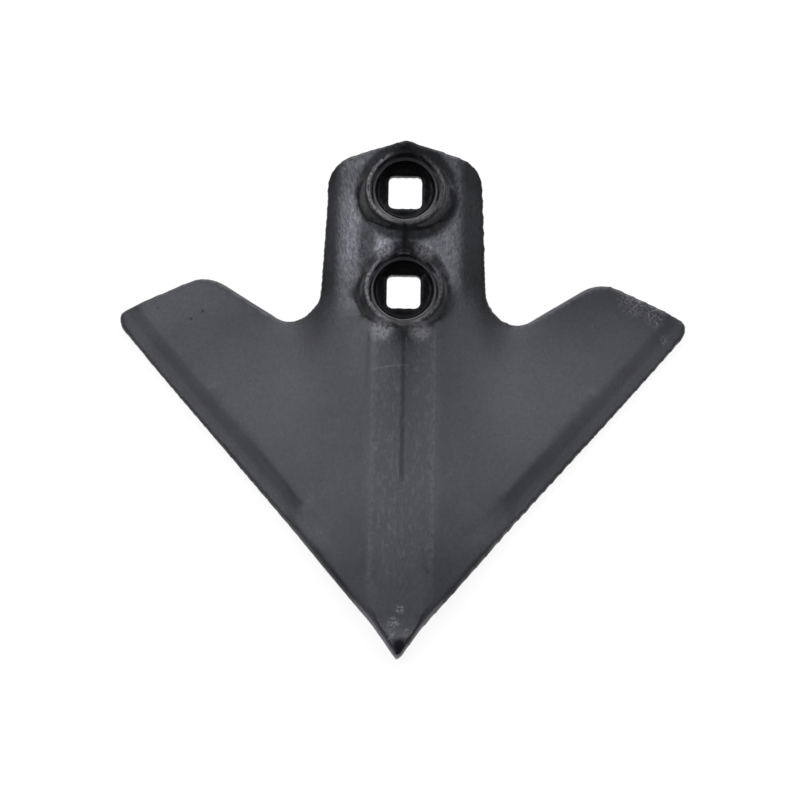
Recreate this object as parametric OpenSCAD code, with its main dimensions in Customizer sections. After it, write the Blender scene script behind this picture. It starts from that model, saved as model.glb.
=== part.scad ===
// Cultivator sweep: one piece hot-pressed from plate, with a two-bolt stem, a ridge and two swept wings.
// Sizes are in millimetres, angles in degrees. It rests on its cutting edges with the nose toward -Y.

/* [Plate] */
// Thickness of the plate
plate_t = 5; // [4:0.5:6]
// Width over the two wing tips
span = 220; // [200:1:240]
// Angle between each cutting edge and the centre line, seen from above
edge_angle = 35.5; // [33:0.5:38]
// Rise of the ridge at the nose above the cutting plane
nose_slope = 16; // [14:0.5:18]
// Rise of the stem above the cutting plane
stem_slope = 30; // [28:0.5:33]
// Radius of the lengthwise bend between the nose and the stem
bend_radius = 245; // [210:5:280]
// Radius of the ridge along the stem
ridge_radius = 1.3; // [1:0.1:3]
// Radius of the ridge at the nose, where it flattens into the band
nose_ridge_radius = 14; // [10:0.5:16]

/* [Stem] */
// Length of the ridge from the sharp nose to the peak of the stem
ridge_length = 198; // [196:0.5:204]
// Half width of the stem at its top corners
stem_half_top = 29.2; // [28:0.2:30]
// Half width of the stem at the foot of its sides
stem_half_foot = 32.2; // [31.6:0.2:33]
// Fall of the two top edges from the peak
gable_angle = 12; // [8:0.5:14]
// Radius of the top corners
shoulder_radius = 10; // [6:0.5:11]
// Drop of the flanks below the plane of the facets
flank_drop = 13; // [10:0.5:15]
// Distance from the ridge over which the flanks turn down
flank_reach = 36; // [34:0.5:40]

/* [Wings] */
// Distance of the wing's hump from the centre line
hump_x = 76; // [72:0.5:80]
// Place of the hump along the ridge
hump_s = 154.5; // [151:0.5:157]
// Radius of the hump
hump_radius = 15; // [10:0.5:17]
// Radius of the outer tips
tip_radius = 3.2; // [2.4:0.2:6]
// Place along the ridge where the wing's rear edge would meet the stem
notch_s = 124.5; // [121:0.5:126]
// Radius of the notch between wing and stem
notch_radius = 11; // [9:0.5:12]
// Rounding of the nose point
nose_radius = 2.2; // [1.8:0.1:2.6]
// Half width of the blunt end of the nose
nose_blunt = 1.6; // [1:0.1:2.2]
// Length over which the cutting edges bulge toward the blunt nose
nose_run = 20; // [14:1:26]

/* [Cutting edge] */
// Width of the thinned lip along each cutting edge
lip_width = 7.6; // [6:0.2:9]
// Depth of the lip below the plate where it meets the shoulder
lip_step = 1.3; // [0.8:0.1:1.6]
// Further thinning from the shoulder to the edge
lip_taper = 1.5; // [1:0.1:1.8]
// Depth of the bevel along the edges at the nose
nose_bevel = 0.9; // [0.6:0.1:2.2]

/* [Ridge band] */
// Half width of the raised band that runs along the ridge from the bolts to the nose
band_half = 12.4; // [11:0.1:13]
// Height of the raised band
band_rise = 0.7; // [0.3:0.1:1]
// Length over which the band widens to the foot of each collar
flare_length = 13; // [8:1:15]

/* [Bolt seats] */
// Distance between the two bolt holes
bolt_pitch = 38; // [36:0.5:39]
// Distance of the upper bolt hole from the peak of the stem
peak_to_bolt = 18; // [17:0.5:22]
// Side of the square holes
hole_side = 12.5; // [11:0.5:13.5]
// Corner radius of the square holes
hole_corner = 1.5; // [0.8:0.1:2]
// Depth of the recess floor below the ridge
floor_depth = 8; // [7:0.25:8.5]
// Radius of the recess at its floor
recess_floor_r = 10.8; // [10.4:0.1:11.2]
// Radius of the recess at the step between its wall and its flared mouth
recess_step_r = 11.2; // [11:0.1:11.6]
// Height of the flared mouth below the lip of the collar
mouth_height = 2.6; // [2:0.1:3.2]
// Radius of the recess at the lip of its collar
recess_lip_r = 13.2; // [12.8:0.1:13.6]
// Depth of the collar's lip below the ridge, at the bolt's axis
collar_depth = 1.6; // [1.2:0.1:2]
// Distance of the upper collar below its bolt hole, toward the nose
collar_sag = 0.5; // [0:0.5:2]
// Tilt of the collar's lip, lower side forward
collar_tilt = 10; // [6:0.5:12]
// Radius of the collar's flat lip
collar_r = 14.7; // [14.4:0.1:15]
// Radius of the collar at its foot
collar_foot_r = 17.2; // [16.8:0.1:18]
// Radius of the flat pad behind each hole
pad_r = 13; // [12:0.5:13.5]
// Radius of the pad where it leaves the plate
pad_foot_r = 16.5; // [15.5:0.25:16.75]

/* [Hidden] */
$fn = 96;
COLOUR = [0.10, 0.11, 0.12];

// Places of the upper and the lower bolt hole along the ridge.
upper_s = ridge_length - peak_to_bolt;
bolt_s = upper_s - bolt_pitch;

// The bend ends a little below the lower bolt, so the stem above it is straight.
bend_end = bolt_s - 8;
bend_angle = stem_slope - nose_slope;
bend_start = bend_end - bend_radius * bend_angle * PI / 180;

function clamp(x, lo, hi) = min(max(x, lo), hi);
function mix(a, b, t) = a + (b - a) * t;
function smooth(lo, hi, x) = let (t = clamp((x - lo) / (hi - lo), 0, 1)) t * t * (3 - 2 * t);
function unit(v) = v / norm(v);

// The ridge line in the plane of symmetry: place up the stem, height off it, and tilt from the stem.
function ridge(s) =
  let (
    tilt = clamp((bend_end - s) / bend_radius * 180 / PI, 0, bend_angle),
    rest = max(bend_start - s, 0)
  )
  [
    max(s - bend_end, 0) - bend_radius * sin(tilt) - rest * cos(bend_angle),
    bend_radius * (1 - cos(tilt)) + rest * sin(bend_angle),
    tilt
  ];

NOSE = ridge(0);

// Where the cutting edge passes the station at s: its depth below the ridge and its half width.
function edge_at(s) =
  let (
    r = ridge(s),
    dv = r[0] - NOSE[0],
    dw = r[1] - NOSE[1],
    rise = dv * sin(stem_slope) + dw * cos(stem_slope),
    back = dv * cos(stem_slope) - dw * sin(stem_slope),
    slope = stem_slope - r[2]
  )
  [rise / cos(slope), tan(edge_angle) * (back + rise * tan(slope))];

// Near the nose the edges bulge out a little, so that the nose is blunt.
function bulge(s) = nose_blunt * pow(max(1 - s / nose_run, 0), 2);
EDGE_TABLE = [for (s = [0:190]) [edge_at(s)[1] + bulge(s), s]];
function edge_s(x) = lookup(sqrt(x * x + nose_radius * nose_radius), EDGE_TABLE);

// The pressed lip draws the tips in by about this much on each side.
draw_in = 1.4;
reach = span / 2 + draw_in;
tip_s = edge_s(reach);

// Cross-section: two facets that meet in the ridge, with flanks that turn down toward the stem's sides.
function ridge_r(s, inside) =
  mix(nose_ridge_radius, ridge_radius + inside, smooth(bolt_s - 90, bolt_s - 18, s));
function facet(x, r) = sqrt(x * x + r * r) - r;
function flank(x) = 1 - exp(-pow(abs(x) / flank_reach, 4));
function flank_at(s) = flank_drop * smooth(bolt_s - 70, bolt_s - 5, s);
function facet_slope(s, inside) =
  let (
    t = clamp(s, 12, tip_s),
    e = edge_at(t)
  )
  (e[0] - flank_at(t) * flank(e[1])) / facet(e[1], ridge_r(t, inside));
function depth(x, s, inside) =
  facet_slope(s, inside) * facet(x, ridge_r(s, inside)) + flank_at(s) * flank(x);

// A point of the pressed face, and the direction straight out of it. The inside of the fold is rounder.
function skin(x, s, inside) =
  let (
    r = ridge(s),
    d = depth(x, s, inside)
  )
  [x, r[0] - d * sin(r[2]), r[1] - d * cos(r[2])];
function outward(x, s, inside) =
  let (h = 0.2)
  unit(cross(
    skin(x + h, s, inside) - skin(x - h, s, inside),
    skin(x, s + h, inside) - skin(x, s - h, inside)
  ));
fold_inside = 3;

// The outline of the right half, in distance from the centre line and place along the ridge.
function arc(a, q, b, r, n) =
  let (
    u = unit(a - q),
    w = unit(b - q),
    half = acos(u * w) / 2,
    c = q + unit(u + w) * r / sin(half),
    p = q + u * r / tan(half) - c,
    e = q + w * r / tan(half) - c,
    from = atan2(p[1], p[0]),
    turn = atan2(p[0] * e[1] - p[1] * e[0], p * e)
  )
  [for (i = [0:n]) c + r * [cos(from + turn * i / n), sin(from + turn * i / n)]];

hump = [hump_x, hump_s];
edge_run = [1, (edge_s(reach) - edge_s(reach - 10)) / 10];
tip_bisector = unit(unit(-edge_run) + unit(hump - [reach, tip_s]));
tip_half = acos(unit(-edge_run) * unit(hump - [reach, tip_s])) / 2;
tip_x = reach - tip_radius * (1 + tip_bisector[0] / sin(tip_half));
tip = [tip_x, edge_s(tip_x)];
notch = [stem_half_foot, notch_s];
shoulder = [stem_half_top, ridge_length - tan(gable_angle) * stem_half_top];
peak = [0, ridge_length];

tip_arc = arc(tip - edge_run, tip, hump, tip_radius, 12);
hump_arc = arc(tip, hump, notch, hump_radius, 6);
notch_arc = arc(hump, notch, shoulder, notch_radius, 10);
shoulder_arc = arc(notch, shoulder, peak, shoulder_radius, 7);

function along(a, b, n) = [for (i = [1:n - 1]) mix(a, b, i / n)];
function offset_of(p) = p[1] - edge_s(p[0]);

// Rows beside the cutting edge run parallel to it, at these distances along the ridge.
lip_s = lip_width / sin(atan(1 / edge_run[1]));
OFFSETS = concat(
  [for (share = [0, 0.16, 0.32, 0.65, 1]) share * lip_s],
  [for (past = [1.5, 3.2, 6, 11, 18]) lip_s + past]
);
rear = concat(tip_arc, along(tip_arc[12], hump_arc[0], 8), [hump_arc[0]]);
REAR_X = [for (p = rear) [offset_of(p), p[0]]];
edge_ends = [for (d = OFFSETS) let (x = lookup(d, REAR_X)) [x, edge_s(x) + d]];

// Rows then turn from the wing to the stem, where they run straight across.
low = 4;
wing_ends = concat(
  hump_arc,
  along(hump_arc[6], notch_arc[0], 4),
  [for (i = [0:low - 1]) notch_arc[i]]
);
stem_ends = concat(
  [for (i = [low:10]) notch_arc[i]],
  along(notch_arc[10], shoulder_arc[0], 7),
  shoulder_arc
);

// Each row: its end, its start on the ridge, how far it follows the cutting edge, its fall, its offset.
wing_start = offset_of(wing_ends[0]);
stem_start = stem_ends[0][1];
function gable_at(s) = tan(gable_angle) * smooth(bolt_s + 10, shoulder_arc[7][1], s);
ROWS = concat(
  [for (i = [0:len(OFFSETS) - 1]) [edge_ends[i], OFFSETS[i], 1, 0, OFFSETS[i]]],
  [for (i = [0:len(wing_ends) - 1])
    let (t = i / len(wing_ends)) [wing_ends[i], mix(wing_start, stem_start, t), 1 - t, 0, 99]],
  [for (p = stem_ends) [p, p[1] + gable_at(p[1]) * p[0], 0, gable_at(p[1]), 99]]
);

// Columns: the inner ones keep their distance from the ridge, the outer ones share out the rest.
INNER = [0, 0.8, 1.8, 3.4, 6.2, 9.2, band_half - 0.7, band_half + 0.7, 15, 18, 22];
OUTER = [0.06, 0.14, 0.23, 0.33, 0.44, 0.57, 0.72, 0.88, 1];
INNER_END = len(INNER) - 1;
SIDE = INNER_END + len(OUTER);

function row_s(row, x, inner_x) =
  let (
    end = row[0],
    run = max(x - inner_x, 0) / (end[0] - inner_x),
    miss = end[1] - row[1] - row[2] * edge_s(end[0]) + row[3] * end[0]
  )
  row[1] + row[2] * edge_s(x) - row[3] * x + miss * run * run;

// The band widens around the foot of each collar, and the columns beside its edge follow it.
flare_flat = 3;
INNER_WIDE = INNER[INNER_END];
FOLLOW = [[0, 0], [band_half - 0.7, 1], [band_half + 0.7, 1], [INNER_WIDE, 0]];
function away(s, bolt) = clamp((abs(s - bolt) - flare_flat) / flare_length, 0, 1);
function flare(s) = (collar_foot_r - band_half) * (1 - min(away(s, bolt_s), away(s, upper_s)));
function flared(row, x, inner_x, steps) =
  steps == 0 ? x : x + lookup(x, FOLLOW) * flare(row_s(row, flared(row, x, inner_x, steps - 1), inner_x));

function row_place(row, j) =
  let (
    end = row[0],
    inner_x = min(INNER_WIDE, end[0] - 6),
    inner = INNER[min(j, INNER_END)] * inner_x / INNER_WIDE,
    outer = mix(inner_x, end[0], OUTER[max(j - INNER_END - 1, 0)]),
    x = j <= INNER_END ? flared(row, inner, inner_x, 5) : outer
  )
  [x, row_s(row, x, inner_x)];

// How far the front face is pressed down at the cutting edge, and raised along the ridge band.
function lip_drop(offset) =
  let (
    q = offset / lip_s,
    fade = smooth(lip_s - 3, lip_s + 8, offset),
    fade_at_shoulder = smooth(-3, 8, 0)
  )
  q <= 1 ? lip_step + lip_taper * (1 - q) : lip_step * (1 - fade) / (1 - fade_at_shoulder);
function bevel_drop(offset) = nose_bevel * (1 - clamp(offset / (lip_s * 0.32), 0, 1));
function edge_drop(x, offset) = mix(bevel_drop(offset), lip_drop(offset), smooth(16, 46, x));
function band_at(x, s) =
  band_rise * smooth(18, 50, s) * (1 - smooth(upper_s - 4, upper_s + 8, s))
  * (1 - smooth(-0.9, 0.9, abs(x) - band_half - flare(s)));

GRID = [
  for (row = ROWS) [
    for (c = [-SIDE:SIDE])
      let (p = row_place(row, abs(c)))
      [sign(c) * p[0], p[1], row[4]]
  ]
];
WIDE = 2 * SIDE + 1;
LAST = len(ROWS) - 1;
COUNT = WIDE * len(ROWS);

FRONT = [
  for (line = GRID, g = line)
  skin(g[0], g[1], 0) + outward(g[0], g[1], 0) * (band_at(g[0], g[1]) - edge_drop(abs(g[0]), g[2]))
];
BACK = [
  for (line = GRID, g = line)
  skin(g[0], g[1], fold_inside) - outward(g[0], g[1], fold_inside) * plate_t
];

// Faces of the front, of the back and of the rim between them, mirrored about the centre line.
function at(r, c) = r * WIDE + c;
function quad(a, b, c, d, flip) = flip ? [[a, b, c], [a, c, d]] : [[a, b, d], [b, c, d]];
function front_cell(r, c) = quad(at(r, c), at(r + 1, c), at(r + 1, c + 1), at(r, c + 1), c >= SIDE);
function back_cell(r, c) = [
  for (f = quad(at(r, c + 1), at(r + 1, c + 1), at(r + 1, c), at(r, c), c < SIDE))
    f + [COUNT, COUNT, COUNT]
];
function rim_cell(a, b) = quad(a, b, b + COUNT, a + COUNT, true);
FACES = concat(
  [for (r = [0:LAST - 1], c = [0:WIDE - 2], f = front_cell(r, c)) f],
  [for (r = [0:LAST - 1], c = [0:WIDE - 2], f = back_cell(r, c)) f],
  [for (c = [0:WIDE - 2], f = rim_cell(at(0, c), at(0, c + 1))) f],
  [for (c = [0:WIDE - 2], f = rim_cell(at(LAST, c + 1), at(LAST, c))) f],
  [for (r = [0:LAST - 1], f = rim_cell(at(r, WIDE - 1), at(r + 1, WIDE - 1))) f],
  [for (r = [0:LAST - 1], f = rim_cell(at(r + 1, 0), at(r, 0))) f]
);

// The resting attitude: cutting edges on the floor, middle of the box over the origin.
POINTS = concat(FRONT, BACK);
GROUND_Y = [for (p = POINTS) p[1] * cos(stem_slope) - p[2] * sin(stem_slope)];
GROUND_Z = [for (p = POINTS) p[1] * sin(stem_slope) + p[2] * cos(stem_slope)];
pad_depth = floor_depth + plate_t;
pad_end = upper_s - bend_end + pad_foot_r;
pad_end_depth = pad_depth - pad_foot_r + pad_r;
PAD_Y = pad_end * cos(stem_slope) + pad_end_depth * sin(stem_slope);
BACK_Y = max(max(GROUND_Y), PAD_Y);

// The pressed plate before its bolt seats are formed.
module plate() {
  polyhedron(points = POINTS, faces = FACES, convexity = 6);
}

// Axes of the two bolts, square to the stem.
module at_bolts() {
  for (s = [bolt_s, upper_s]) translate([0, s - bend_end, 0]) children();
}

// The stem in front of the middle of the plate, or behind it, a little inside its outline.
module stem_half(front) {
  rim = 0.6;
  top = ridge_length - bend_end - rim;
  side = stem_half_top - rim;
  fall = facet_slope(ridge_length, 0) * 40;
  far = front ? 20 : -60;
  intersection() {
    translate([0, 0, -60]) linear_extrude(80) polygon([
      [0, top],
      [side, top - tan(gable_angle) * side],
      [side, -20],
      [-side, -20],
      [-side, top - tan(gable_angle) * side]
    ]);
    translate([0, 100, 0]) rotate([90, 0, 0]) linear_extrude(140) polygon([
      [-40, -plate_t / 2 - fall],
      [0, -plate_t / 2],
      [40, -plate_t / 2 - fall],
      [40, far],
      [-40, far]
    ]);
  }
}

// Raised collar in front of the plate, its lip tilted lower side forward.
module collar() {
  translate([0, 0, -collar_depth]) rotate([-collar_tilt, 0, 0]) rotate_extrude() polygon([
    [0, -12],
    [collar_foot_r, -12],
    [collar_foot_r, -5.2],
    [collar_foot_r - 0.5, -4],
    [collar_r + 0.5, -0.7],
    [collar_r + 0.2, -0.2],
    [collar_r - 0.4, 0],
    [0, 0]
  ]);
}

// The lower collar is square to its hole, and the upper one sags toward the nose.
module collars() {
  translate([0, bolt_s - bend_end, 0]) collar();
  translate([0, upper_s - bend_end - collar_sag, 0]) collar();
}

// Round pad behind the plate, flat where it meets the tine.
module pad() {
  rotate_extrude() polygon([
    [0, -pad_depth],
    [pad_r, -pad_depth],
    [pad_foot_r, -pad_depth + pad_foot_r - pad_r],
    [pad_foot_r, 0],
    [0, 0]
  ]);
}

// Round recess for the bolt head, opening toward the front.
module recess() {
  above = 6;
  rotate_extrude() polygon([
    [0, -floor_depth],
    [recess_floor_r, -floor_depth],
    [recess_step_r, -collar_depth - mouth_height],
    [recess_lip_r, -collar_depth],
    [recess_lip_r + 0.5, above],
    [0, above]
  ]);
}

// Square hole for the neck of the bolt.
module square_hole() {
  flat = hole_side - 2 * hole_corner;
  translate([0, 0, -pad_depth - 4]) linear_extrude(plate_t + 8) {
    square([hole_side, flat], center = true);
    square([flat, hole_side], center = true);
    for (x = [-flat / 2, flat / 2], y = [-flat / 2, flat / 2])
      translate([x, y]) circle(r = hole_corner, $fn = 24);
  }
}

module sweep() {
  color(COLOUR)
    translate([0, -(min(GROUND_Y) + BACK_Y) / 2, -min(GROUND_Z)])
    rotate([stem_slope, 0, 0])
    difference() {
      union() {
        plate();
        intersection() {
          collars();
          stem_half(true);
        }
        intersection() {
          at_bolts() pad();
          stem_half(false);
        }
      }
      at_bolts() {
        recess();
        square_hole();
      }
    }
}

sweep();
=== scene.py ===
"""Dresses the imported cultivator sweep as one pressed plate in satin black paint, on a pale studio floor.

Lengths are in metres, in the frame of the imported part: +X across the wings, -Y toward the nose, +Z up.
"""
import math

import bmesh
import bpy
import numpy as np
from mathutils import Matrix, Vector


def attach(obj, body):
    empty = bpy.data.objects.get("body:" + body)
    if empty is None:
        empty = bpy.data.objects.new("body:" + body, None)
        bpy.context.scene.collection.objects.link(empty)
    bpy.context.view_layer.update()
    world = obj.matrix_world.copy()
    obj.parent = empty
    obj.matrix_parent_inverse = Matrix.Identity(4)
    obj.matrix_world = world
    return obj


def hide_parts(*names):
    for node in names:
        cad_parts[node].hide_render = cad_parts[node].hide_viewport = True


bl_info = {
    "name": "Cultivator sweep",
    "version": (1, 0, 0),
    "blender": (4, 5, 0),
    "location": "View3D > Sidebar > Sweep",
    "description": "Makes a pressed, painted cultivator sweep and its studio",
    "category": "Object",
}

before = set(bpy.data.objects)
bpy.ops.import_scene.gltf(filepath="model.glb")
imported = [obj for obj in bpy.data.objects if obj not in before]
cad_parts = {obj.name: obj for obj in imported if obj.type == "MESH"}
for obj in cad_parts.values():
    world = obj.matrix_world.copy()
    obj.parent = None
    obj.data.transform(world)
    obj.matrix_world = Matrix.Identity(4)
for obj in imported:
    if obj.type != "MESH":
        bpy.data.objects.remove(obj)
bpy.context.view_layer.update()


class SweepForm(bpy.types.PropertyGroup):
    """Sizes of the pressed skin."""

    grid: bpy.props.FloatProperty(
        name="Grid",
        description="Spacing of the points on the pressed skin",
        default=0.00088,
        min=0.0005,
        max=0.003,
        precision=5,
        unit="LENGTH",
    )
    soft_passes: bpy.props.IntProperty(
        name="Softening",
        description="How often the skin is smoothed, which rounds its edges as pressing and paint do",
        default=14,
        min=0,
        max=30,
    )
    outline_passes: bpy.props.IntProperty(
        name="Outline softening",
        description="How often the plate's outline is smoothed again",
        default=60,
        min=0,
        max=200,
    )
    flat_passes: bpy.props.IntProperty(
        name="Flat softening",
        description="How often the flats between the edges are smoothed",
        default=160,
        min=0,
        max=600,
    )


class SweepPaint(bpy.types.PropertyGroup):
    """Colours and finish of the paint."""

    paint: bpy.props.FloatVectorProperty(
        name="Paint",
        description="Colour of the paint",
        subtype="COLOR",
        default=(0.016, 0.0165, 0.018),
        min=0.0,
        max=1.0,
    )
    # This colour also makes the painted highlight lines along the band's sides.
    worn_and_highlight: bpy.props.FloatVectorProperty(
        name="Worn paint",
        description="Colour of the paint where it is rubbed",
        subtype="COLOR",
        default=(0.055, 0.056, 0.06),
        min=0.0,
        max=1.0,
    )
    # This colour is also laid on as painted highlights on the seats and beside the ridge, and as a painted
    # reflection at the nose's rim.
    steel_and_highlight: bpy.props.FloatVectorProperty(
        name="Bare steel",
        description="Colour of the specks where the steel shows, dull and scaled",
        subtype="COLOR",
        default=(0.2, 0.2, 0.215),
        min=0.0,
        max=1.0,
    )
    # The bluish tint of the reflections stands in for a bluish light.
    sheen: bpy.props.FloatVectorProperty(
        name="Sheen",
        description="Tint of the light that the paint reflects",
        subtype="COLOR",
        default=(0.86, 0.87, 1.0),
        min=0.0,
        max=1.0,
    )
    roughness: bpy.props.FloatProperty(
        name="Roughness",
        description="Roughness of the paint on the wings",
        subtype="FACTOR",
        default=0.26,
        min=0.0,
        max=1.0,
    )
    stem_roughness: bpy.props.FloatProperty(
        name="Stem roughness",
        description="Roughness of the paint on the stem, which is smoother",
        subtype="FACTOR",
        default=0.2,
        min=0.0,
        max=1.0,
    )
    gloss: bpy.props.FloatProperty(
        name="Gloss",
        description="Reflection of the paint on the wings, where a half is that of common plastic",
        subtype="FACTOR",
        default=0.42,
        min=0.0,
        max=1.0,
    )
    stem_gloss: bpy.props.FloatProperty(
        name="Stem gloss",
        description="Reflection of the paint on the stem",
        subtype="FACTOR",
        default=0.9,
        min=0.0,
        max=1.0,
    )


class SweepStudio(bpy.types.PropertyGroup):
    """Camera, lights and floor."""

    elevation: bpy.props.FloatProperty(
        name="Elevation",
        description="Angle of the camera above the floor",
        subtype="ANGLE",
        default=math.radians(50.39),
    )
    azimuth: bpy.props.FloatProperty(
        name="Azimuth",
        description="Angle of the camera round the part, from straight in front of the nose",
        subtype="ANGLE",
        default=math.radians(-0.13),
    )
    roll: bpy.props.FloatProperty(
        name="Roll",
        description="Turn of the camera about its line of sight",
        subtype="ANGLE",
        default=math.radians(1.11),
    )
    distance: bpy.props.FloatProperty(
        name="Distance",
        description="Distance of the camera from the middle of the part",
        default=1.0,
        unit="LENGTH",
    )
    lens: bpy.props.FloatProperty(
        name="Lens",
        description="Focal length of the camera",
        default=122.67,
        unit="CAMERA",
    )
    shift_x: bpy.props.FloatProperty(
        name="Shift across",
        description="Sideways shift of the frame, as a share of its width",
        default=-0.00178,
        precision=5,
    )
    shift_y: bpy.props.FloatProperty(
        name="Shift up",
        description="Upward shift of the frame, as a share of its width",
        default=0.0221,
        precision=5,
    )
    floor: bpy.props.FloatVectorProperty(
        name="Floor",
        description="Colour of the floor",
        subtype="COLOR",
        default=(0.85, 0.85, 0.85),
        min=0.0,
        max=1.0,
    )
    left_power: bpy.props.FloatProperty(
        name="Left light",
        description="Power of the light on the left",
        default=11.0,
        unit="POWER",
    )
    right_power: bpy.props.FloatProperty(
        name="Right light",
        description="Power of the light on the right",
        default=1.5,
        unit="POWER",
    )
    tent: bpy.props.FloatProperty(
        name="Light tent",
        description="Brightness of the white tent around the part",
        default=1.75,
        min=0.0,
    )
    opening: bpy.props.FloatProperty(
        name="Tent opening",
        description="Brightness of the tent's open front, where the camera stands",
        default=0.1,
        min=0.0,
    )


# A copied CAD mesh is loose triangles, and corners closer than this are one corner.
MERGE_DISTANCE = 1e-6
# The skin's grid is laid askew to the plate, so that no edge runs along it and steps.
GRID_TURN = Matrix.Rotation(0.62, 4, "X") @ Matrix.Rotation(0.47, 4, "Z")
# Each evening pass draws the skin in and lets it out again, so that the plate keeps its thickness.
SMOOTH_IN = 0.5
SMOOTH_OUT = -0.5
# A point that stands out or in by more than this, in grid spacings, belongs to an edge and not to a flat.
# On the stem and on the band only stronger edges count, with the ridge along the middle of the stem.
FLAT_LIMIT = 0.02
STEM_FLAT_LIMIT = 0.05
STEM_FLAT_START = 0.026
BAND_FLAT_HALF = 0.009
RIDGE_KEPT = 0.005
FLAT_MARGIN = 2
# A point that stands out by more than this belongs to the plate's outline, unless it is in the seats' part
# of the stem. The outline is evened further, because it would show the grid's steps.
OUTLINE_LIMIT = 0.05
OUTLINE_MARGIN = 2
SEATS_HALF = 0.018
SEATS_LENGTH = (0.02, 0.0885)


def even_skin(form):
    """Returns an object with the CAD part's shape as one even skin of small quads."""
    bm = bmesh.new()
    bm.from_mesh(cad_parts["sweep"].data)
    bmesh.ops.remove_doubles(bm, verts=bm.verts, dist=MERGE_DISTANCE)
    bmesh.ops.transform(bm, matrix=GRID_TURN, verts=bm.verts)
    mesh = bpy.data.meshes.new("pressed_plate")
    bm.to_mesh(mesh)
    bm.free()
    plate = bpy.data.objects.new("pressed_plate", mesh)
    bpy.context.scene.collection.objects.link(plate)
    remesh = plate.modifiers.new("Even skin", "REMESH")
    remesh.mode = "VOXEL"
    remesh.voxel_size = form.grid
    skin = bpy.data.meshes.new_from_object(plate.evaluated_get(bpy.context.evaluated_depsgraph_get()))
    plate.modifiers.clear()
    skin.transform(GRID_TURN.inverted())
    plate.data = skin
    bpy.data.meshes.remove(mesh)
    return plate


def values(items, name, width):
    """Returns one property of many mesh items as rows of numbers."""
    flat = np.empty(len(items) * width)
    items.foreach_get(name, flat)
    return flat.reshape(-1, width)


def edge_ends(mesh):
    """Returns the two points of each edge."""
    return values(mesh.edges, "vertices", 2).astype(np.int64)


def stands_out(mesh):
    """Returns how far each point stands out from its neighbours, in grid spacings."""
    places = values(mesh.vertices, "co", 3)
    normals = values(mesh.vertices, "normal", 3)
    ends = edge_ends(mesh)
    total = np.zeros_like(places)
    links = np.zeros((len(places), 1))
    for here, there in ((0, 1), (1, 0)):
        np.add.at(total, ends[:, here], places[ends[:, there]])
        np.add.at(links, ends[:, here], 1.0)
    spacing = np.linalg.norm(places[ends[:, 0]] - places[ends[:, 1]], axis=1).mean()
    return ((places - total / links) * normals).sum(axis=1) / spacing


def grow(mesh, chosen, steps):
    """Returns the chosen points with their neighbours, some steps out."""
    ends = edge_ends(mesh)
    for _ in range(steps):
        wider = chosen.copy()
        wider[ends[chosen[ends[:, 0]], 1]] = True
        wider[ends[chosen[ends[:, 1]], 0]] = True
        chosen = wider
    return chosen


def outline_points(mesh, out):
    """Returns which points lie along the plate's outline."""
    places = values(mesh.vertices, "co", 3)
    across = np.abs(places[:, 0])
    along = places[:, 1]
    seats = (across < SEATS_HALF) & (along > SEATS_LENGTH[0]) & (along < SEATS_LENGTH[1])
    return grow(mesh, (out > OUTLINE_LIMIT) & ~seats, OUTLINE_MARGIN)


def edge_points(mesh, out):
    """Returns which points lie along an edge or a crease, and not on a flat."""
    places = values(mesh.vertices, "co", 3)
    across = np.abs(places[:, 0])
    on_stem = places[:, 1] > STEM_FLAT_START
    limits = np.where(on_stem | (across < BAND_FLAT_HALF), STEM_FLAT_LIMIT, FLAT_LIMIT)
    return grow(mesh, (np.abs(out) > limits) | (on_stem & (across < RIDGE_KEPT)), FLAT_MARGIN)


def smooth(bm, verts, factor):
    """Moves each point toward the middle of its neighbours, or away from it."""
    bmesh.ops.smooth_vert(
        bm, verts=verts, factor=factor, use_axis_x=True, use_axis_y=True, use_axis_z=True
    )


def even(bm, verts, passes):
    """Smooths points without drawing them in."""
    for _ in range(passes):
        smooth(bm, verts, SMOOTH_IN)
        smooth(bm, verts, SMOOTH_OUT)


def soften(mesh, form):
    """Rounds the skin's edges, evens its outline and its flats, and shades it smooth."""
    bm = bmesh.new()
    bm.from_mesh(mesh)
    even(bm, bm.verts, form.soft_passes)
    bm.to_mesh(mesh)
    out = stands_out(mesh)
    outline = np.flatnonzero(outline_points(mesh, out))
    flats = np.flatnonzero(~edge_points(mesh, out))
    bm.verts.ensure_lookup_table()
    even(bm, [bm.verts[i] for i in outline], form.outline_passes)
    flat_verts = [bm.verts[i] for i in flats]
    for _ in range(form.flat_passes):
        smooth(bm, flat_verts, SMOOTH_IN)
    for face in bm.faces:
        face.smooth = True
    bm.to_mesh(mesh)
    bm.free()


def mark_skin(mesh):
    """Stores how far each point stands out and how far it faces up, for the wear on the edges, the painted
    shade in the creases and along the rim's upper edge, and the light rim at the nose.
    """
    facing = values(mesh.vertices, "normal", 3)[:, 2].copy()
    for name, marks in (("edge", stands_out(mesh)), ("facing", facing)):
        attribute = mesh.attributes.new(name, "FLOAT", "POINT")
        attribute.data.foreach_set("value", marks)


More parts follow.
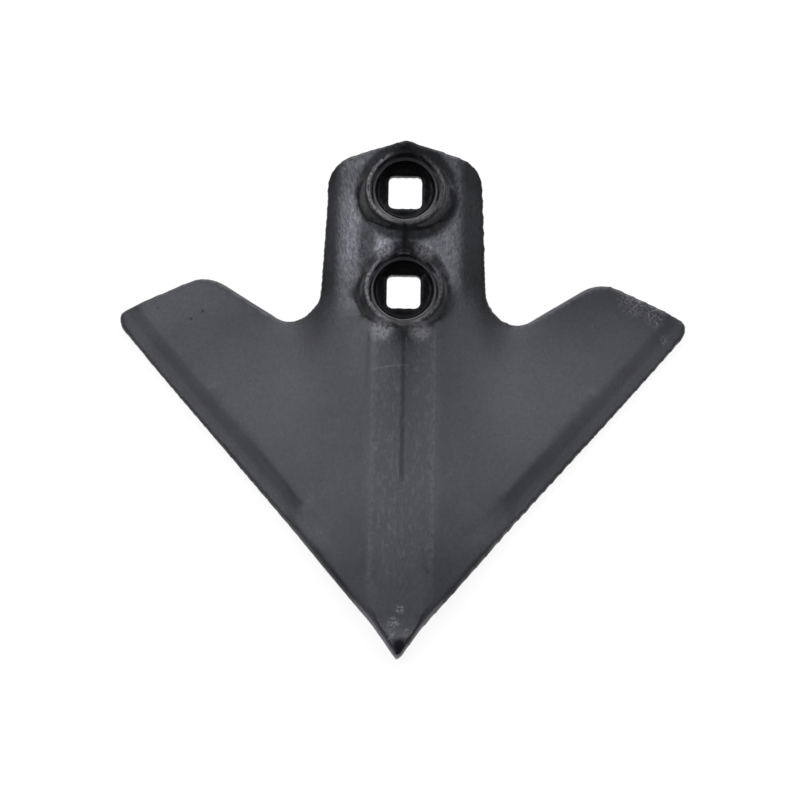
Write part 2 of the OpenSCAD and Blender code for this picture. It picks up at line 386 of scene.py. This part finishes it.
class Nodes:
    """Adds nodes to a tree and joins them."""

    def __init__(self, tree):
        self.tree = tree

    def add(self, kind, **settings):
        """Adds a node and sets its options."""
        node = self.tree.nodes.new(kind)
        for name, value in settings.items():
            setattr(node, name, value)
        return node

    def join(self, value, socket):
        """Links an output to a socket, or sets a plain value on it."""
        if isinstance(value, bpy.types.NodeSocket):
            self.tree.links.new(value, socket)
        else:
            socket.default_value = value

    def span(self, value, low, high, to_low=0.0, to_high=1.0):
        """Returns a value eased from one range to another."""
        node = self.add("ShaderNodeMapRange", interpolation_type="SMOOTHSTEP")
        self.join(value, node.inputs["Value"])
        node.inputs["From Min"].default_value = low
        node.inputs["From Max"].default_value = high
        node.inputs["To Min"].default_value = to_low
        node.inputs["To Max"].default_value = to_high
        return node.outputs["Result"]

    def maths(self, operation, first, second=0.0):
        """Returns one sum, product or the like of two values."""
        node = self.add("ShaderNodeMath", operation=operation)
        self.join(first, node.inputs[0])
        self.join(second, node.inputs[1])
        return node.outputs["Value"]

    def both(self, *shares):
        """Returns the product of some shares."""
        product = shares[0]
        for share in shares[1:]:
            product = self.maths("MULTIPLY", product, share)
        return product

    def either(self, *shares):
        """Returns the largest of some shares."""
        largest = shares[0]
        for share in shares[1:]:
            largest = self.maths("MAXIMUM", largest, share)
        return largest

    def less(self, *shares):
        """Returns what the product of some shares leaves of 1."""
        return self.maths("SUBTRACT", 1.0, self.both(*shares))

    def vector(self, operation, first, second):
        """Returns a node that works on two vectors."""
        node = self.add("ShaderNodeVectorMath", operation=operation)
        self.join(first, node.inputs[0])
        self.join(second, node.inputs[1])
        return node

    def blend(self, share, first, second):
        """Returns a colour between two others."""
        node = self.add("ShaderNodeMix", data_type="RGBA")
        colours = [socket for socket in node.inputs if socket.type == "RGBA"]
        self.join(share, node.inputs["Factor"])
        self.join(first, colours[0])
        self.join(second, colours[1])
        return next(socket for socket in node.outputs if socket.type == "RGBA")


# A spot or a stripe is whole out to this share of its radius.
SPOT_CORE = 0.35

# Noise patterns: the size of the blotches, the detail, its roughness and the stretch along the part.
BLOTCHES = (0.012, 5.0, 0.5, 1.0)
GRAIN = (0.0009, 4.0, 0.6, 1.6)
STREAKS = (0.0012, 5.0, 0.65, 7.0)
SPECKS = (0.0008, 3.0, 0.6, 1.0)
BRUSHING = (0.0009, 4.0, 0.65, 5.0)
RIPPLES = (0.0035, 3.0, 0.5, 1.0)
# The ranges of noise over which streaks and specks appear, and over which the grain breaks up the worn
# edges, the painted highlight lines and the painted highlights.
STREAK_RANGE = (0.42, 0.68)
SPECK_RANGE = (0.47, 0.62)
EDGE_GRAIN = (0.35, 0.65)
LINE_GRAIN = (0.3, 0.6)
HIGHLIGHT_GRAIN = (0.35, 0.6, 0.25, 1.0)

# The stem's smoother paint begins over this stretch of the part and ends over this distance from the middle.
STEM_FOOT = (0.03, 0.05)
STEM_SIDE = (0.036, 0.03)
# The stem's turned-down flanks are dulled as painted shade beyond this distance from a line a little left of
# the middle.
FLANK_MIDDLE = -0.002
FLANK_SIDE = (0.0198, 0.0252)
FLANK_SHARE = 0.85
# The stem's top is duller over this stretch, by this range of levels.
CROWN_STRETCH = (0.0765, 0.0835)
CROWN_LEVELS = (1.0, 0.58)
# Between the seats a line of painted shade runs along the ridge.
RIDGE_HALF = 0.0016
RIDGE_ENDS = ((0.048, 0.051), (0.0635, 0.0605))
# Left of the seats' neck a soft valley is darkened as painted shade.
VALLEY_X = -0.0138
VALLEY_HALF = 0.005
VALLEY_ENDS = ((0.044, 0.05), (0.068, 0.062))
VALLEY_SHARE = 0.75
# The paint dulls over this stretch toward the nose, less so near the middle.
NOSE_STRETCH = (-0.028, -0.07)
NOSE_SIDE = (0.004, 0.014)
NOSE_SHARES = (0.1, 0.5)

# How far an edge stands out where it is rubbed, and a crease stands in where it gets painted shade, in grid
# spacings.
EDGE_WEAR = (0.04, 0.2)
CREASE = (-0.04, -0.14)
# The band that wears along the ridge: its side, where it ends, how its wear differs from right to left, and
# how much is worn between the streaks. Its edges carry painted highlight lines, about a middle a little to
# the right.
BAND_SIDE = (0.0128, 0.0098)
BAND_ENDS = ((0.032, 0.024), (-0.078, -0.05))
BAND_LEFT = (0.003, -0.002)
BAND_SHARES = (0.8, 0.9)
STREAK_LEAST = 0.35
BAND_MIDDLE = 0.0005
BAND_EDGE = 0.0107
BAND_EDGE_HALF = 0.0015
BAND_EDGE_SHARE = 0.6
# The press left a fine groove along the ridge, darkened as painted shade, and a faint line across the band.
GROOVE_X = 0.0003
GROOVE_HALF = 0.0012
GROOVE_SHARE = 0.4
GROOVE_ENDS = ((-0.032, -0.024), (0.03, 0.024))
PRESS_LINE_Y = 0.0139
PRESS_LINE_HALF = 0.0005
PRESS_LINE_SIDE = (0.0035, 0.0015)
# The sheared rim at the nose shows dull steel where it faces sideways, made lighter too as a painted
# reflection of the floor.
RIM_STRETCH = (-0.064, -0.074)
RIM_FACING = (0.7, 0.52)
RIM_SHARE = 0.45
# A line of painted shade runs along the rim's upper edge.
RIM_LINE_STRETCH = (-0.068, -0.08)
RIM_LINE_FACING = 0.8
RIM_LINE_HALF = 0.1
RIM_LINE_SHARE = 0.8
# Small pits in the left wing.
PITS = ((-0.0947, 0.0632, 0.0124), (-0.0768, 0.0581, 0.0169), (-0.0811, 0.0563, 0.0142))
PIT_RADIUS = 0.0009
PIT_SHARE = 0.6
# The cutting edges run from this point on the middle line at this angle to it. Behind the nose, the thinned
# lip along each has a painted sheen in front and painted shade at the back, most of it at its shoulder.
EDGE_START = -0.0919
EDGE_ANGLE = math.radians(35.5)
LIP_WIDTH = (0.0095, 0.0058)
LIP_SHEEN = (-0.036, -0.004)
LIP_SHEEN_SHARES = (0.4, -0.15)
LIP_FRONT = (-0.05, -0.04)
SHOULDER = 0.0068
SHOULDER_HALF = 0.003
SHOULDER_REAR = (-0.05, -0.025)
SHOULDER_SHARE = 0.28
# The bolt seats: a point on each axis and the axes' direction, and the radii over which the painted shade on
# the wall ends.
SEATS = ((0.0, 0.04399, 0.045437), (0.0, 0.076899, 0.064437))
SEAT_AXIS = (0.0, -0.5, 0.8660254)
WALL_RADIUS = (0.0125, 0.0113)
# The painted highlight on the rim of each wall and on the crest around it, which is strong at its sides,
# most at the left.
SEAT_RIM_RADIUS = 0.0116
SEAT_RIM_HALF = 0.0006
SEAT_RIM_SHARE = 0.2
CREST_RADIUS = 0.0138
CREST_HALF = 0.0009
CREST_SHARE = 0.7
CREST_SIDE = (0.003, 0.009)
CREST_SIDE_SHARES = (0.12, 1.0)
CREST_LEFT = (0.006, -0.006)
CREST_LEFT_SHARES = (0.3, 1.0)
# The painted shade on each seat's lip: the middle and half the width of its ring, and its share.
SEAT_LIPS = ((0.0127, 0.0026, 0.75), (0.0129, 0.0029, 0.9))
# The painted shade on each seat's slope: the centre, the middle and half the width of its ring, which fades
# in front.
SLOPE_CENTRES = ((0.0, 0.04399, 0.045437), (0.0007, 0.0756, 0.063687))
SLOPE_RINGS = ((0.0155, 0.0032), (0.0165, 0.0044))
SLOPE_SHARE = 0.9
SLOPE_FRONT = (0.029, 0.037)
SLOPE_FRONT_SHARES = (0.3, 1.0)
# Scuffed places and their radii: the right wing and the nose.
SCUFFS = (
    ((0.0880, 0.0672, 0.0165), 0.0080),
    ((0.0970, 0.0640, 0.0117), 0.0060),
    ((0.1010, 0.0576, 0.0056), 0.0026),
    ((0.0006, -0.0749, 0.0099), 0.0030),
    ((-0.0017, -0.0799, 0.0083), 0.0032),
    ((-0.0027, -0.0844, 0.0068), 0.0024),
    ((0.0036, -0.0831, 0.0069), 0.0022),
)
SCUFF_SHARE = 0.5
# Painted highlights, their radii and how bright they are: beside the
# ridge between the seats, and at the foot of the lower seat.
PAINTED_HIGHLIGHTS = (
    ((-0.0080, 0.0529, 0.0587), 0.0054, 0.75),
    ((0.0078, 0.0527, 0.0585), 0.0054, 0.5),
    ((-0.0080, 0.0270, 0.0434), 0.0058, 0.7),
    ((0.0062, 0.0265, 0.0438), 0.0056, 0.55),
)
# The point of the nose is dark.
NOSE_POINT = (0.0006, -0.0880, 0.0058)
NOSE_POINT_RADIUS = 0.0034

# How the colour, the roughness and the gloss follow the blotches, the grain and the painted shade.
BLOTCH_RANGE = (0.3, 0.7)
PAINT_LEVELS = (0.85, 1.15)
SHADE_LEVEL = 0.4
ROUGHNESS_RANGE = (0.25, 0.75, -0.04, 0.05)
MOTTLE_RANGE = (0.3, 0.7, 0.87, 1.13)
BRUSHING_RANGE = (0.3, 0.7, -0.45, 0.45)
SHADE_DULLING = 0.88
# The relief of the paint: its strength and height, and how deep the hollows are in it.
RELIEF_STRENGTH = 0.14
RELIEF_HEIGHT = 0.0001
RELIEF_HOLLOW = 2.0


class PaintNodes(Nodes):
    """Nodes of the paint, whose patterns read the piece's own coordinates and the values on its skin."""

    def __init__(self, tree):
        super().__init__(tree)
        self.place = self.add("ShaderNodeTexCoord").outputs["Object"]
        axes = self.add("ShaderNodeSeparateXYZ")
        self.join(self.place, axes.inputs["Vector"])
        self.x = axes.outputs["X"]
        self.y = axes.outputs["Y"]
        self.across = self.maths("ABSOLUTE", self.x)
        self.edge = self.mark("edge")
        self.facing = self.mark("facing")
        self.seats = [self.from_axis(point, SEAT_AXIS) for point in SEATS]
        self.blotches = self.noise(*BLOTCHES)
        self.grain = self.noise(*GRAIN)
        self.streaks = self.span(self.noise(*STREAKS), *STREAK_RANGE)
        self.stem = self.both(self.span(self.y, *STEM_FOOT), self.span(self.across, *STEM_SIDE))
        self.band_length = self.between(self.y, BAND_ENDS)
        self.band = self.both(self.span(self.across, *BAND_SIDE), self.band_length)

    def mark(self, name):
        """Returns a value stored on the skin."""
        return self.add("ShaderNodeAttribute", attribute_name=name).outputs["Fac"]

    def noise(self, size, detail, roughness, stretch):
        """Returns noise from 0 to 1 whose blotches are about this size, drawn out along the part."""
        drawn = self.vector("MULTIPLY", self.place, (1.0, 1.0 / stretch, 1.0))
        node = self.add("ShaderNodeTexNoise")
        self.join(drawn.outputs["Vector"], node.inputs["Vector"])
        node.inputs["Scale"].default_value = 1.0 / size
        node.inputs["Detail"].default_value = detail
        node.inputs["Roughness"].default_value = roughness
        return node.outputs["Fac"]

    def near(self, point, radius):
        """Returns 1 at a point of the piece, fading to 0 at a radius."""
        distance = self.vector("DISTANCE", self.place, point).outputs["Value"]
        return self.span(distance, radius, radius * SPOT_CORE)

    def from_axis(self, point, axis):
        """Returns the distance from a line through a point."""
        reach = self.vector("SUBTRACT", self.place, point).outputs["Vector"]
        along = self.vector("PROJECT", reach, axis).outputs["Vector"]
        return self.vector("DISTANCE", reach, along).outputs["Value"]

    def off(self, value, middle):
        """Returns how far a value is from a middle."""
        return self.maths("ABSOLUTE", self.maths("SUBTRACT", value, middle))

    def stripe(self, value, middle, half):
        """Returns 1 where a value is at the middle, fading to 0 at half a width from it."""
        return self.span(self.off(value, middle), half, half * SPOT_CORE)

    def between(self, value, ends):
        """Returns 1 between two ends, fading to 0 over the range of each."""
        return self.both(*(self.span(value, *end) for end in ends))


def worn_and_highlight_share(nodes):
    """Returns how rubbed the paint is on the edges, on the band and at the press line, with painted
    highlight lines along the band's sides.
    """
    edges = nodes.both(nodes.span(nodes.edge, *EDGE_WEAR), nodes.span(nodes.grain, *EDGE_GRAIN))
    band = nodes.both(
        nodes.band,
        nodes.span(nodes.x, *BAND_LEFT, *BAND_SHARES),
        nodes.maths("MAXIMUM", nodes.streaks, STREAK_LEAST),
    )
    # Painted highlight lines along the band's sides.
    band_edge_highlight = nodes.both(
        nodes.stripe(nodes.off(nodes.x, BAND_MIDDLE), BAND_EDGE, BAND_EDGE_HALF),
        nodes.band_length,
        nodes.span(nodes.grain, *LINE_GRAIN),
        BAND_EDGE_SHARE,
    )
    press_line = nodes.both(
        nodes.stripe(nodes.y, PRESS_LINE_Y, PRESS_LINE_HALF),
        nodes.band,
        nodes.span(nodes.x, *PRESS_LINE_SIDE),
    )
    return nodes.either(edges, band, band_edge_highlight, press_line)


def steel_and_highlight_share(nodes):
    """Returns where light steel colour is laid on: bare steel in the scuffs, painted highlights beside the
    ridge, at the foot of the lower seat and on the seats' rims and crests, and dull steel with a painted
    reflection at the nose's rim.
    """
    scuffs = nodes.both(
        nodes.either(*(nodes.near(point, radius) for point, radius in SCUFFS)),
        nodes.span(nodes.noise(*SPECKS), *SPECK_RANGE),
        SCUFF_SHARE,
    )
    # Painted highlights beside the ridge and at the foot of the lower seat.
    places = [nodes.both(nodes.near(point, radius), share) for point, radius, share in PAINTED_HIGHLIGHTS]
    ridge_highlights = nodes.both(
        nodes.either(*places),
        nodes.span(nodes.grain, *HIGHLIGHT_GRAIN),
        nodes.span(nodes.across, RIDGE_HALF * SPOT_CORE, RIDGE_HALF),
    )
    # Painted highlights on the seats' rims and crests.
    seat_rim_highlights = [nodes.stripe(radius, SEAT_RIM_RADIUS, SEAT_RIM_HALF) for radius in nodes.seats]
    crest_highlights = nodes.both(
        nodes.either(*(nodes.stripe(radius, CREST_RADIUS, CREST_HALF) for radius in nodes.seats)),
        nodes.span(nodes.x, *CREST_LEFT, *CREST_LEFT_SHARES),
        nodes.span(nodes.across, *CREST_SIDE, *CREST_SIDE_SHARES),
        nodes.span(nodes.grain, *LINE_GRAIN),
        CREST_SHARE,
    )
    # Dull steel at the nose's rim, lighter also as a painted reflection.
    nose_rim_steel_and_reflection = nodes.both(
        nodes.span(nodes.facing, *RIM_FACING), nodes.span(nodes.y, *RIM_STRETCH), RIM_SHARE
    )
    return nodes.either(
        scuffs, ridge_highlights, nodes.both(nodes.either(*seat_rim_highlights), SEAT_RIM_SHARE), crest_highlights, nose_rim_steel_and_reflection
    )


def seat_painted_shade(nodes):
    """Returns the painted shade on the seats: on their walls, their lips and the slopes around them."""
    # Painted shade on the seats' walls, lips and slopes.
    walls = [nodes.span(radius, *WALL_RADIUS) for radius in nodes.seats]
    lips = [
        nodes.both(nodes.stripe(radius, middle, half), share)
        for radius, (middle, half, share) in zip(nodes.seats, SEAT_LIPS)
    ]
    around = [nodes.from_axis(point, SEAT_AXIS) for point in SLOPE_CENTRES]
    slopes = [nodes.stripe(radius, *ring) for radius, ring in zip(around, SLOPE_RINGS)]
    slope = nodes.both(
        nodes.either(*slopes), nodes.span(nodes.y, *SLOPE_FRONT, *SLOPE_FRONT_SHARES), SLOPE_SHARE
    )
    return nodes.either(*walls, *lips, slope)


def shade_and_pit_share(nodes):
    """Returns how dark and dull the paint is: painted shade in the creases, the groove, the seats, the
    valley, along the ridge and along the rim's upper edge, with the dark pits and the dark point of the
    nose.
    """
    groove = nodes.both(
        nodes.stripe(nodes.x, GROOVE_X, GROOVE_HALF), nodes.between(nodes.y, GROOVE_ENDS), GROOVE_SHARE
    )
    pits = nodes.both(nodes.either(*(nodes.near(point, PIT_RADIUS) for point in PITS)), PIT_SHARE)
    # Painted shade along the rim's upper edge.
    rim_shade_line = nodes.both(
        nodes.stripe(nodes.facing, RIM_LINE_FACING, RIM_LINE_HALF),
        nodes.span(nodes.y, *RIM_LINE_STRETCH),
        RIM_LINE_SHARE,
    )
    # Painted shade in the valley left of the seats' neck.
    valley_shade = nodes.both(
        nodes.stripe(nodes.x, VALLEY_X, VALLEY_HALF), nodes.between(nodes.y, VALLEY_ENDS), VALLEY_SHARE
    )
    # Painted shade along the ridge between the seats.
    ridge_shade = nodes.both(nodes.stripe(nodes.x, 0.0, RIDGE_HALF), nodes.between(nodes.y, RIDGE_ENDS))
    nose_point = nodes.near(NOSE_POINT, NOSE_POINT_RADIUS)
    crease_shade = nodes.span(nodes.edge, *CREASE)
    return nodes.either(crease_shade, groove, pits, rim_shade_line, seat_painted_shade(nodes), nose_point, valley_shade, ridge_shade)


def lip_sheen_and_shade(nodes):
    """Returns the painted sheen and painted shade along the cutting edges: on the thinned lip and on its
    shoulder.
    """
    inward = nodes.maths(
        "SUBTRACT",
        nodes.both(nodes.maths("SUBTRACT", nodes.y, EDGE_START), math.sin(EDGE_ANGLE)),
        nodes.both(nodes.across, math.cos(EDGE_ANGLE)),
    )
    # Painted sheen on the lip's front and painted shade along its shoulder.
    lip = nodes.both(
        nodes.span(inward, *LIP_WIDTH),
        nodes.span(nodes.y, *LIP_FRONT),
        nodes.span(nodes.y, *LIP_SHEEN, *LIP_SHEEN_SHARES),
    )
    shoulder = nodes.less(
        nodes.stripe(inward, SHOULDER, SHOULDER_HALF), nodes.span(nodes.y, *SHOULDER_REAR), SHOULDER_SHARE
    )
    return nodes.both(nodes.maths("ADD", 1.0, lip), shoulder)


def gloss_level(nodes, finish, shade_and_pits):
    """Returns the gloss of the paint: mottled, brushed on the stem, dull at the nose, dulled as painted
    shade in the creases, on the seats and on the flanks, with painted sheen and shade along the lips.
    """
    level = nodes.span(nodes.stem, 0.0, 1.0, finish.gloss, finish.stem_gloss)
    mottled = nodes.span(nodes.grain, *MOTTLE_RANGE)
    brushing = nodes.both(nodes.stem, nodes.span(nodes.noise(*BRUSHING), *BRUSHING_RANGE))
    brushed = nodes.maths("ADD", 1.0, brushing)
    nose = nodes.less(nodes.span(nodes.y, *NOSE_STRETCH), nodes.span(nodes.across, *NOSE_SIDE, *NOSE_SHARES))
    # Painted shade: the stem's flanks reflect less.
    flank_shade = nodes.less(nodes.stem, nodes.span(nodes.off(nodes.x, FLANK_MIDDLE), *FLANK_SIDE), FLANK_SHARE)
    crown = nodes.span(nodes.y, *CROWN_STRETCH, *CROWN_LEVELS)
    dulled_in_shade = nodes.less(shade_and_pits, SHADE_DULLING)
    return nodes.both(level, mottled, brushed, nose, dulled_in_shade, flank_shade, crown, lip_sheen_and_shade(nodes))


def black_paint(finish):
    """Returns the satin black paint, mottled, with rubbed edges, a worn band, scuffs and pits, painted shade
    in its creases and seats, and painted highlights on the seats and beside the ridge.
    """
    material = bpy.data.materials.new("satin_black_paint")
    material.use_nodes = True
    nodes = PaintNodes(material.node_tree)
    shader = nodes.tree.nodes["Principled BSDF"]
    shade_and_pits = shade_and_pit_share(nodes)

    deep, pale = (rgba(finish.paint, level) for level in PAINT_LEVELS)
    sound = nodes.blend(nodes.span(nodes.blotches, *BLOTCH_RANGE), deep, pale)
    worn_and_highlight = nodes.blend(worn_and_highlight_share(nodes), sound, rgba(finish.worn_and_highlight))
    # Painted shade darkens the creases, the seats, the ridge line, the valley and the rim's upper edge.
    dark = nodes.blend(shade_and_pits, worn_and_highlight, rgba(finish.paint, SHADE_LEVEL))
    # Painted highlights lighten the seats' rims and crests and the places beside the ridge.
    nodes.join(nodes.blend(steel_and_highlight_share(nodes), dark, rgba(finish.steel_and_highlight)), shader.inputs["Base Color"])

    roughness = nodes.span(nodes.stem, 0.0, 1.0, finish.roughness, finish.stem_roughness)
    uneven = nodes.span(nodes.blotches, *ROUGHNESS_RANGE)
    nodes.join(nodes.maths("ADD", roughness, uneven), shader.inputs["Roughness"])
    nodes.join(gloss_level(nodes, finish, shade_and_pits), shader.inputs["Specular IOR Level"])
    shader.inputs["Specular Tint"].default_value = rgba(finish.sheen)

    relief = nodes.maths("ADD", nodes.grain, nodes.noise(*RIPPLES))
    relief = nodes.maths("ADD", relief, nodes.both(nodes.band, nodes.streaks))
    relief = nodes.maths("SUBTRACT", relief, nodes.both(shade_and_pits, RELIEF_HOLLOW))
    bump = nodes.add("ShaderNodeBump")
    bump.inputs["Strength"].default_value = RELIEF_STRENGTH
    bump.inputs["Distance"].default_value = RELIEF_HEIGHT
    nodes.join(relief, bump.inputs["Height"])
    nodes.join(bump.outputs["Normal"], shader.inputs["Normal"])
    return material


def rgba(colour, level=1.0):
    """Returns a colour with its alpha, made lighter or darker by a level."""
    return (colour[0] * level, colour[1] * level, colour[2] * level, 1.0)


class SWEEP_OT_plate(bpy.types.Operator):
    """Makes the pressed, painted plate in place of the CAD node"""

    bl_idname = "sweep.plate"
    bl_label = "Pressed plate"

    def execute(self, context):
        plate = even_skin(context.scene.sweep_form)
        soften(plate.data, context.scene.sweep_form)
        mark_skin(plate.data)
        plate.data.materials.clear()
        plate.data.materials.append(black_paint(context.scene.sweep_paint))
        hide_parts("sweep")
        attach(plate, "root")
        return {"FINISHED"}


# The photograph's frame is square, and the lens is given for this sensor.
SENSOR_WIDTH = 36.0
# The studio: what the camera looks at, and where each square light stands.
AIM = Vector((0.0, 0.0, 0.025))
LEFT_LIGHT = Vector((-2.325, -0.58, 1.83))
RIGHT_LIGHT = Vector((2.064, -0.63, 2.11))
SIDE_LIGHT_SIZE = 1.58
# The tent fades to its open front, around the camera, as a direction's share along this axis falls.
TENT_AXIS = (-0.12, 1.0, -0.5)
TENT_FRONT = (-0.8, -0.48)
# It is dim near the floor, as a direction's upward share falls, and brighter toward the back.
TENT_HEIGHT = (0.2, 0.38)
TENT_HEIGHT_LEVELS = (0.16, 1.0)
TENT_BACK = (0.05, 0.4)
TENT_BACK_LEVELS = (0.9, 1.5)
# Half the floor's side, how far it lies under the part, and how much of it glows white where it is seen.
FLOOR_HALF = 12.0
FLOOR_GAP = 0.0002
FLOOR_GLOW = 0.9


def add_light(name, place, size, power):
    """Adds a square light that faces the part."""
    light = bpy.data.lights.new(name, "AREA")
    light.shape = "SQUARE"
    light.size = size
    light.energy = power
    lamp = bpy.data.objects.new(name, light)
    lamp.location = place
    lamp.rotation_euler = (AIM - place).to_track_quat("-Z", "Y").to_euler()
    bpy.context.scene.collection.objects.link(lamp)


def add_camera(studio):
    """Adds the camera at the photograph's angle, in front of the nose."""
    camera = bpy.data.objects.new("camera", bpy.data.cameras.new("camera"))
    camera.data.sensor_width = SENSOR_WIDTH
    camera.data.lens = studio.lens
    camera.data.shift_x = studio.shift_x
    camera.data.shift_y = studio.shift_y
    turned = Matrix.Rotation(studio.azimuth, 4, "Z")
    raised = Matrix.Rotation(math.pi / 2 - studio.elevation, 4, "X")
    rolled = Matrix.Rotation(studio.roll, 4, "Z")
    drawn_back = Matrix.Translation((0.0, 0.0, studio.distance))
    camera.matrix_world = Matrix.Translation(AIM) @ turned @ raised @ drawn_back @ rolled
    bpy.context.scene.collection.objects.link(camera)
    bpy.context.scene.camera = camera


def pale_floor(studio):
    """Returns the floor's finish, white to the camera and in reflections, which keeps the part's shadow."""
    material = bpy.data.materials.new("pale_floor")
    material.use_nodes = True
    nodes = Nodes(material.node_tree)
    shader = nodes.tree.nodes["Principled BSDF"]
    shader.inputs["Base Color"].default_value = rgba(studio.floor)
    shader.inputs["Roughness"].default_value = 1.0
    shader.inputs["Specular IOR Level"].default_value = 0.0
    rays = nodes.add("ShaderNodeLightPath").outputs
    seen = nodes.either(rays["Is Camera Ray"], rays["Is Glossy Ray"], rays["Is Transmission Ray"])
    glow = nodes.add("ShaderNodeEmission")
    mixer = nodes.add("ShaderNodeMixShader")
    nodes.join(nodes.both(seen, FLOOR_GLOW), mixer.inputs["Fac"])
    nodes.join(shader.outputs["BSDF"], mixer.inputs[1])
    nodes.join(glow.outputs["Emission"], mixer.inputs[2])
    nodes.join(mixer.outputs["Shader"], nodes.tree.nodes["Material Output"].inputs["Surface"])
    return material


def add_floor(studio):
    """Adds the wide floor just under the part."""
    bm = bmesh.new()
    bmesh.ops.create_grid(
        bm, x_segments=1, y_segments=1, size=FLOOR_HALF, matrix=Matrix.Translation((0.0, 0.0, -FLOOR_GAP))
    )
    mesh = bpy.data.meshes.new("floor")
    bm.to_mesh(mesh)
    bm.free()
    mesh.materials.append(pale_floor(studio))
    floor = bpy.data.objects.new("floor", mesh)
    bpy.context.scene.collection.objects.link(floor)


def add_tent(scene, studio):
    """Surrounds the part with a white tent that is open toward the camera."""
    scene.world = bpy.data.worlds.new("light_tent")
    scene.world.use_nodes = True
    nodes = Nodes(scene.world.node_tree)
    direction = nodes.add("ShaderNodeTexCoord").outputs["Generated"]
    axes = nodes.add("ShaderNodeSeparateXYZ")
    nodes.join(direction, axes.inputs["Vector"])
    front = nodes.vector("DOT_PRODUCT", direction, TENT_AXIS).outputs["Value"]
    level = nodes.both(
        nodes.span(front, *TENT_FRONT, studio.opening, studio.tent),
        nodes.span(axes.outputs["Z"], *TENT_HEIGHT, *TENT_HEIGHT_LEVELS),
        nodes.span(axes.outputs["Y"], *TENT_BACK, *TENT_BACK_LEVELS),
    )
    background = nodes.tree.nodes["Background"]
    background.inputs["Color"].default_value = rgba((1.0, 1.0, 1.0))
    nodes.join(level, background.inputs["Strength"])


class SWEEP_OT_studio(bpy.types.Operator):
    """Adds the floor, the lights and the camera"""

    bl_idname = "sweep.studio"
    bl_label = "Studio"

    def execute(self, context):
        studio = context.scene.sweep_studio
        add_floor(studio)
        add_light("left_light", LEFT_LIGHT, SIDE_LIGHT_SIZE, studio.left_power)
        add_light("right_light", RIGHT_LIGHT, SIDE_LIGHT_SIZE, studio.right_power)
        add_camera(studio)
        add_tent(context.scene, studio)
        context.scene.view_settings.view_transform = "Standard"
        return {"FINISHED"}


class SWEEP_PT_panel(bpy.types.Panel):
    """Lists the pieces and their settings"""

    bl_label = "Cultivator sweep"
    bl_idname = "SWEEP_PT_panel"
    bl_space_type = "VIEW_3D"
    bl_region_type = "UI"
    bl_category = "Sweep"

    def draw(self, context):
        for settings, operator in (
            (("sweep_form", "sweep_paint"), SWEEP_OT_plate),
            (("sweep_studio",), SWEEP_OT_studio),
        ):
            for name in settings:
                group = getattr(context.scene, name)
                for prop in group.bl_rna.properties:
                    if prop.identifier not in {"name", "rna_type"}:
                        self.layout.prop(group, prop.identifier)
            self.layout.operator(operator.bl_idname)


CLASSES = (SweepForm, SweepPaint, SweepStudio, SWEEP_OT_plate, SWEEP_OT_studio, SWEEP_PT_panel)


def register():
    """Registers the classes and puts their settings on the scene."""
    for cls in CLASSES:
        bpy.utils.register_class(cls)
    bpy.types.Scene.sweep_form = bpy.props.PointerProperty(type=SweepForm)
    bpy.types.Scene.sweep_paint = bpy.props.PointerProperty(type=SweepPaint)
    bpy.types.Scene.sweep_studio = bpy.props.PointerProperty(type=SweepStudio)


def unregister():
    """Takes the settings and the classes away again."""
    del bpy.types.Scene.sweep_form
    del bpy.types.Scene.sweep_paint
    del bpy.types.Scene.sweep_studio
    for cls in reversed(CLASSES):
        bpy.utils.unregister_class(cls)


def main():
    register()
    bpy.ops.sweep.plate()
    bpy.ops.sweep.studio()


if __name__ == "__main__":
    main()
